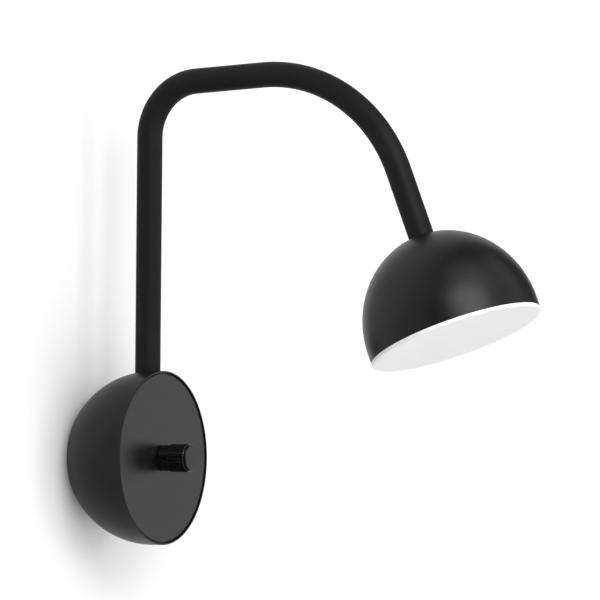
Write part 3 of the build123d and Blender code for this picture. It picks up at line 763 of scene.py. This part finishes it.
def bend_points(start, direction, radius, turn, step):
    """Points along a bend to the left in the (y, z) plane, without its end, then its end and the direction
    there: the start is turned about a centre that lies the radius away on the left."""
    centre = start + np.array([-direction[1], direction[0]]) * radius
    spin = spins(turn * np.linspace(0, 1, int(np.ceil(radius * turn / step)) + 1))
    bend = centre + spin @ (start - centre)
    return bend[:-1], bend[-1], spin[-1] @ direction


def along_line(line, radius, columns):
    """Rings of a radius round a line in the plane x = 0: x is the radius times the cosine, and the radius
    times the sine goes beside the line, which is its direction turned by a right angle."""
    tangent = np.gradient(line, axis=0)
    tangent /= np.linalg.norm(tangent, axis=1, keepdims=True)
    beside = np.stack([-tangent[:, 1], tangent[:, 0]], -1)
    angle = full_turn(columns)
    x = np.broadcast_to(radius * np.cos(angle), (len(line), columns))
    yz = line[:, None] + radius * np.sin(angle)[None, :, None] * beside[:, None]
    return np.concatenate([x[..., None], yz], -1)


upright = np.array([0.0, 1.0])
leg_line = run_points(np.array([leg_y, leg_bottom]), upright, leg_top - leg_bottom)
first_line, first_end, out_direction = bend_points(
    np.array([leg_y, leg_top]), upright, first_bend_radius, first_bend_turn, first_bend_step
)
top_line = run_points(first_end, out_direction, top_run)
second_line, second_end, down_direction = bend_points(
    first_end + out_direction * top_run, out_direction, second_bend_radius, second_bend_turn, second_bend_step
)
head_centre = second_end + down_direction * last_run
seat_height = head_skirt + head_crown - seat_sink
tube_length = last_run - seat_height
last_line = run_points(second_end, down_direction, tube_length)
tube_end = second_end + down_direction * tube_length
arm_line = np.concatenate([leg_line, first_line, top_line, second_line, last_line, tube_end[None]])

tube_coat = powder_coat("matt_tube_black", colour=0.008, roughness=0.5, gloss=0.06, peel=0.8 * MM)
tube_grid = np.concatenate([
    along_line(arm_line, tube_radius, tube_columns),
    along_line(arm_line, tube_bore, tube_columns)[::-1],
])
make_piece(
    "arm",
    tube_grid,
    grid_faces(numbered(*tube_grid.shape[:2])),
    "arm",
    ["arm_tube"],
    tube_coat,
)


# ---------------------------------------------------------------- head fixings
# A threaded steel insert in the tube's upper end, and a hollow nipple with a washer and a brass nut, which
# pull the head's dome up against the tube.

dress(zinc_steel, "head_insert", "head_nipple", "head_washer")
dress(brass, "head_nut")


# ---------------------------------------------------------------- head dome
# A die-cast dome in the base's matt black powder coat, with a shallow seat for the tube at its pole and a
# hole for the nipple that holds it.

head_radius = 65 * MM
head_inner_radius = head_radius - shell_wall
nipple_hole = 5.1 * MM
seat_radius = 9.55 * MM
seat_boss_radius = 13 * MM
seat_boss_bottom = 71 * MM
pole_rows = 80


def on_head(grid):
    """Points made about the Y axis from the head's rim at y = 0, moved onto the head's axis: the rim's middle
    plus y times the axis plus z times the direction beside it, which is the axis turned by a right angle."""
    x, y, z = np.moveaxis(grid, -1, 0)
    axis = -down_direction
    beside = np.array([-axis[1], axis[0]])
    along_y = head_centre[0] + y * axis[0] + z * beside[0]
    along_z = head_centre[1] + y * axis[1] + z * beside[1]
    return np.stack([x, along_y, along_z], -1)


seat_angle = np.arccos(seat_radius / head_radius)
boss_angle = np.arccos(seat_boss_radius / head_inner_radius)
head_outer = dome_side(head_radius, head_skirt, head_crown, 0, seat_angle, pole_rows)
head_inner = dome_side(head_inner_radius, head_skirt, head_crown - shell_wall, 0, boss_angle, dome_rows)
head_outline = sampled(
    rounded_outline(
        [(head_radius, 0, round_edge)]
        + plain(head_outer[:-1])
        + [
            (*head_outer[-1], fine_edge),
            (seat_radius, seat_height, fine_edge / 2),
            (nipple_hole, seat_height, 0.0),
            (nipple_hole, seat_boss_bottom, fine_edge),
            (seat_boss_radius, seat_boss_bottom, fine_edge),
        ]
        + plain(head_inner[::-1])
        + [(head_inner_radius, 0, fine_edge)]
    ),
    dome_step,
)
head_grid = on_head(around_y(head_outline, full_turn(dome_columns)))
make_piece(
    "head_dome",
    head_grid,
    grid_faces(numbered(*head_grid.shape[:2])),
    "arm",
    ["head_shell"],
    shell_coat,
)


# ---------------------------------------------------------------- light source
# A round aluminium carrier, turned and screwed into the dome, takes the heat of a white board with LED chips.
# A white moulded reflector surrounds them.

aluminium = bare_metal("aluminium", (0.78, 0.79, 0.80), roughness=0.45, grain=0.6 * MM, stretch=(1, 6, 6))
board_white = moulded("board_white", (0.85, 0.85, 0.83), roughness=0.35, grain=0.3 * MM)
chip_yellow = moulded("chip_yellow", (0.80, 0.60, 0.12), roughness=0.4, grain=0.2 * MM)
reflector_white = moulded("reflector_white", (0.88, 0.88, 0.87), roughness=0.55, grain=0.4 * MM)
dress(aluminium, "led_carrier")
dress(zinc_steel, "carrier_screws", "board_screws")
dress(board_white, "led_board")
dress(chip_yellow, "led_chips")
dress(reflector_white, "reflector")


# ---------------------------------------------------------------- opal disc
# Opal acrylic as wide as the dome and proud of its rim, moulded with a skirt that snaps inside it. Its edge
# and skirt are painted a little darker than the face that looks down: painted shade, set by which way they
# face.

disc_proud = 2.6 * MM
disc_round = 1.6 * MM
skirt_outer, skirt_inner, skirt_top = 62.3 * MM, 60.5 * MM, 7 * MM
disc_step = 4 * MM
disc_colour = 0.74, 0.74, 0.74
lit_face_share = 0.85, 1.0
face_clouds = 20 * MM
disc_roughness = 0.35, 0.42
disc_grain = 0.5 * MM

opal = Look("opal_acrylic")
# Painted shade on the edge and skirt: where the surface is edge-on to the face that looks down, the colour is
# the tint's darker end, and on that face it is paler, with clouds.
facing = opal.add("ShaderNodeVectorMath", operation="DOT_PRODUCT")
facing.inputs[1].default_value = (0, *down_direction)
opal.join(opal.place["Normal"], facing.inputs[0])
shaded_edge_to_lit_face = opal.add("ShaderNodeMapRange")
opal.join(facing.outputs["Value"], shaded_edge_to_lit_face.inputs["Value"])
opal.join(opal.noise(face_clouds, *lit_face_share), shaded_edge_to_lit_face.inputs["To Max"])
opal.tint(disc_colour, shaded_edge_to_lit_face.outputs["Result"])
opal.join(opal.noise(disc_grain, *disc_roughness), opal.surface["Roughness"])

disc_outline = sampled(
    rounded_outline([
        (0, -disc_proud, 0.0),
        (head_radius, -disc_proud, disc_round),
        (head_radius, 0, fine_edge),
        (skirt_outer, 0, 0.0),
        (skirt_outer, skirt_top, fine_edge),
        (skirt_inner, skirt_top, fine_edge),
        (skirt_inner, 0, 0.0),
        (0, 0, 0.0),
    ]),
    disc_step,
    closed=False,
)
disc_grid = on_head(around_y(disc_outline, full_turn(dome_columns)))
make_piece(
    "opal_disc",
    disc_grid,
    grid_faces(numbered(*disc_grid.shape[:2], poles=True)),
    "arm",
    ["diffuser"],
    opal.material,
)


# ---------------------------------------------------------------- dimmer
# A steel can with a threaded bushing, held by its brass nut on a steel bridge behind the plate, with a shaft
# that carries the knob's brass insert, and its small green control board.

board_green = moulded("board_green", (0.03, 0.16, 0.07), roughness=0.35, grain=0.3 * MM)
dress(zinc_steel, "dimmer_bridge", "bridge_screws", "dimmer_body", "dimmer_washer")
dress(brass, "dimmer_nut", "knob_insert")
dress(aluminium, "dimmer_shaft")
dress(board_green, "control_board")


# ---------------------------------------------------------------- front plate
# A flat steel disc with a hole for the dimmer, sunk in the base's lip and held in the middle by the dimmer's
# nut. Its black coat is a little smoother than the dome's.

plate_radius = 62.7 * MM
plate_front = -60.1 * MM
plate_back = -58.6 * MM
plate_hole = 3.6 * MM
plate_step = 4 * MM

plate_coat = powder_coat("satin_plate_black", colour=0.003, roughness=0.33, gloss=0.185, peel=0.5 * MM)
plate_outline = sampled(
    rounded_outline([
        (plate_radius, plate_front, fine_edge),
        (plate_radius, plate_back, fine_edge / 2),
        (plate_hole, plate_back, 0.0),
        (plate_hole, plate_front, fine_edge / 2),
    ]),
    plate_step,
)
plate_grid = around_y(plate_outline, full_turn(dome_columns))
make_piece(
    "front_disc",
    plate_grid,
    grid_faces(numbered(*plate_grid.shape[:2])),
    "base",
    ["front_plate"],
    plate_coat,
)


# ---------------------------------------------------------------- knob
# A glossy black moulding: a plain collar behind and a grip with 26 flutes, hollow behind for the dimmer's
# nut, with a bore for its brass insert and a pocket in front for the cap's spigot.

collar_rear = base_rim - 0.3 * MM
insert_rear = base_rim - 5 * MM
grip_rear = base_rim - 7 * MM
flute_rear = base_rim - 8.6 * MM
insert_front = base_rim - 18 * MM
pocket_rear = base_rim - 19 * MM
grip_front = base_rim - 22.2 * MM
collar_radius = 9.7 * MM
grip_radius = 10.4 * MM
grip_shoulder = 0.3 * MM
grip_chamfer = 0.4 * MM
nut_room = 7.5 * MM
insert_radius = 5.02 * MM
pocket_radius = 6.02 * MM
flute_count = 26
flute_cut = 1.0 * MM
flute_depth = 0.45 * MM
flute_end = 0.02 * MM
flute_points, land_points = 9, 3
knob_step = 2.5 * MM

flute_middle = grip_radius - flute_depth + flute_cut
flute_half = np.arccos((grip_radius**2 + flute_middle**2 - flute_cut**2) / (2 * grip_radius * flute_middle))
flute_pitch = 2 * np.pi / flute_count
in_flute = np.linspace(-flute_half, flute_half, flute_points)
in_land = np.linspace(flute_half, flute_pitch - flute_half, land_points + 2)[1:-1]
one_flute = np.append(in_flute, in_land)
knob_angle = (flute_pitch * np.arange(flute_count)[:, None] + one_flute).ravel()
grip_outline = sampled(
    rounded_outline([
        (0, pocket_rear, 0.0),
        (pocket_radius, pocket_rear, 0.0),
        (pocket_radius, grip_front, 0.0),
        (grip_radius - grip_chamfer, grip_front, fine_edge / 2),
        (grip_radius, grip_front + grip_chamfer, fine_edge / 2),
        (grip_radius, flute_rear - flute_end, 0.0),
        (grip_radius, flute_rear, 0.0),
        (grip_radius, grip_rear, grip_shoulder),
        (collar_radius, grip_rear, 0.0),
        (collar_radius, collar_rear, round_edge),
        (nut_room, collar_rear, 0.0),
        (nut_room, insert_rear, 0.0),
        (insert_radius, insert_rear, 0.0),
        (insert_radius, insert_front, 0.0),
        (0, insert_front, 0.0),
    ]),
    knob_step,
    closed=False,
)
grip_grid = around_y(grip_outline, knob_angle)
# A flute is a round cut along the knob. At an angle from the flute's middle line, the cut's near side is this
# far from the axis: the cut's centre times the cosine, less the root of what is left of the cut's radius
# squared when the centre times the sine, squared, is taken off. A point further out is drawn in to it.
off_middle = np.resize(one_flute, knob_angle.shape)
sideways = flute_middle * np.sin(off_middle)
near_side = flute_middle * np.cos(off_middle) - np.sqrt(np.clip(flute_cut**2 - sideways**2, 0, None))
floor_radius = np.where(np.abs(off_middle) < flute_half, near_side, grip_radius)
fluted = (grip_outline[:, 1] < flute_rear - flute_end / 2) & (grip_outline[:, 0] > pocket_radius + fine_edge)
limit = np.where(fluted[:, None], floor_radius, grip_radius)
shrink = np.minimum(1, limit / np.maximum(grip_outline[:, :1], fine_edge))
grip_grid[..., [0, 2]] *= shrink[..., None]

knob_plastic = moulded(
    "knob_gloss_black", (0.0025, 0.0025, 0.0026), roughness=0.12, grain=0.6 * MM, gloss=0.45
)
make_piece(
    "knob_grip_fluted",
    grip_grid,
    grid_faces(numbered(*grip_grid.shape[:2], poles=True)),
    "knob",
    ["knob_grip"],
    knob_plastic,
)


# ---------------------------------------------------------------- knob cap
# A flat end cap in a satin black coat, with a spigot that is pressed into the grip, and a thin groove between
# the two.

spigot_rear = base_rim - 19.1 * MM
cap_rear = base_rim - 22.7 * MM
cap_front = base_rim - 24.1 * MM
groove_radius = 8.9 * MM
cap_radius = 9.6 * MM
cap_chamfer = 0.25 * MM
spigot_radius = 6.0 * MM

cap_outline = sampled(
    rounded_outline([
        (0, cap_front, 0.0),
        (cap_radius - cap_chamfer, cap_front, fine_edge / 2),
        (cap_radius, cap_front + cap_chamfer, fine_edge / 2),
        (cap_radius, cap_rear, fine_edge / 2),
        (groove_radius, cap_rear, 0.0),
        (groove_radius, grip_front, 0.0),
        (spigot_radius, grip_front, 0.0),
        (spigot_radius, spigot_rear, 0.0),
        (0, spigot_rear, 0.0),
    ]),
    knob_step,
    closed=False,
)
cap_grid = around_y(cap_outline, full_turn(dome_columns))
cap_coat = powder_coat("satin_cap_black", colour=0.003, roughness=0.33, gloss=0.17, peel=0.5 * MM)
make_piece(
    "knob_end",
    cap_grid,
    grid_faces(numbered(*cap_grid.shape[:2], poles=True)),
    "knob",
    ["knob_cap"],
    cap_coat,
)
